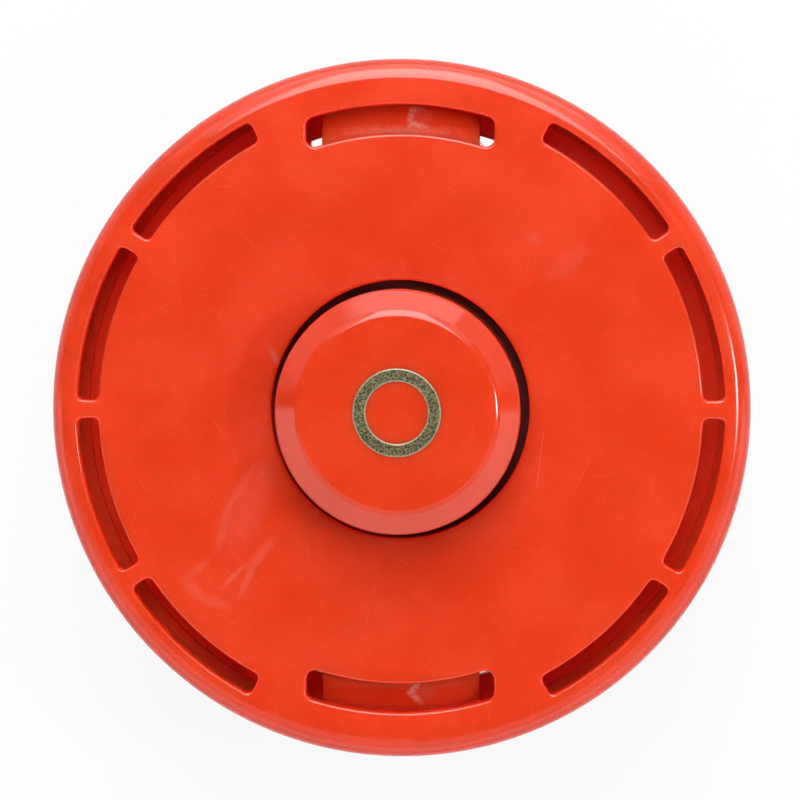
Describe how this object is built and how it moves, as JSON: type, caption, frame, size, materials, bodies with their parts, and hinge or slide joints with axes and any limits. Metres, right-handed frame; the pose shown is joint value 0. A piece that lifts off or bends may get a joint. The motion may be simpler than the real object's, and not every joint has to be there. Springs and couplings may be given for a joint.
{
  "type": "bump feed trimmer head",
  "caption": "Round red bump feed string trimmer head with slotted latched cover, sprung bump knob with steel wear ring, line spool, side eyelets and threaded drive hub.",
  "frame": {"origin": "centre of the hub end face, where the drive thread opens and on which the head lies", "axes": "+Z along the drive axis from the hub to the bump knob, latch arms at +Y and -Y, line eyelets at +X and -X"},
  "size_m": [0.11, 0.11, 0.066],
  "materials": {
    "housing_plastic": "moulded red, semi gloss",
    "cover_plastic": "moulded red, glossy with fine scratches",
    "knob_plastic": "moulded red, glossy",
    "spool_plastic": "moulded dark red, satin",
    "plated_steel": "yellow passivated zinc plating, mottled",
    "spring_steel": "oiled spring steel",
    "zinc_steel": "clear zinc plating",
    "eyelet_metal": "bright zinc plating"
  },
  "bodies": {
    "head": {"housing": "housing_plastic", "cover": "cover_plastic", "bump_spring": "spring_steel", "spring_seat": "zinc_steel", "drive_adapter": "zinc_steel", "adapter_retainer": "spring_steel", "eyelet_right": "eyelet_metal", "eyelet_left": "eyelet_metal"},
    "thrust_washer": {"thrust_washer": "zinc_steel"},
    "spool": {"spool": "spool_plastic", "bump_knob": "knob_plastic", "wear_ring": "plated_steel"}
  },
  "joints": [
    {"name": "bump", "type": "slide", "parent": "head", "child": "thrust_washer", "axis": [0, 0, -1], "range_m": [0, 0.007], "stiffness_N_per_m": 1800, "springref_m": -0.012, "deforming": ["bump_spring"]},
    {"name": "spool_turn", "type": "hinge", "parent": "thrust_washer", "child": "spool", "pos_m": [0, 0, 0.035], "axis": [0, 0, 1], "range_deg": [0, 30]}
  ],
  "couplings": [
    {"joint": "spool_turn", "follows": "bump", "rad_per_m": 74.799}
  ]
}
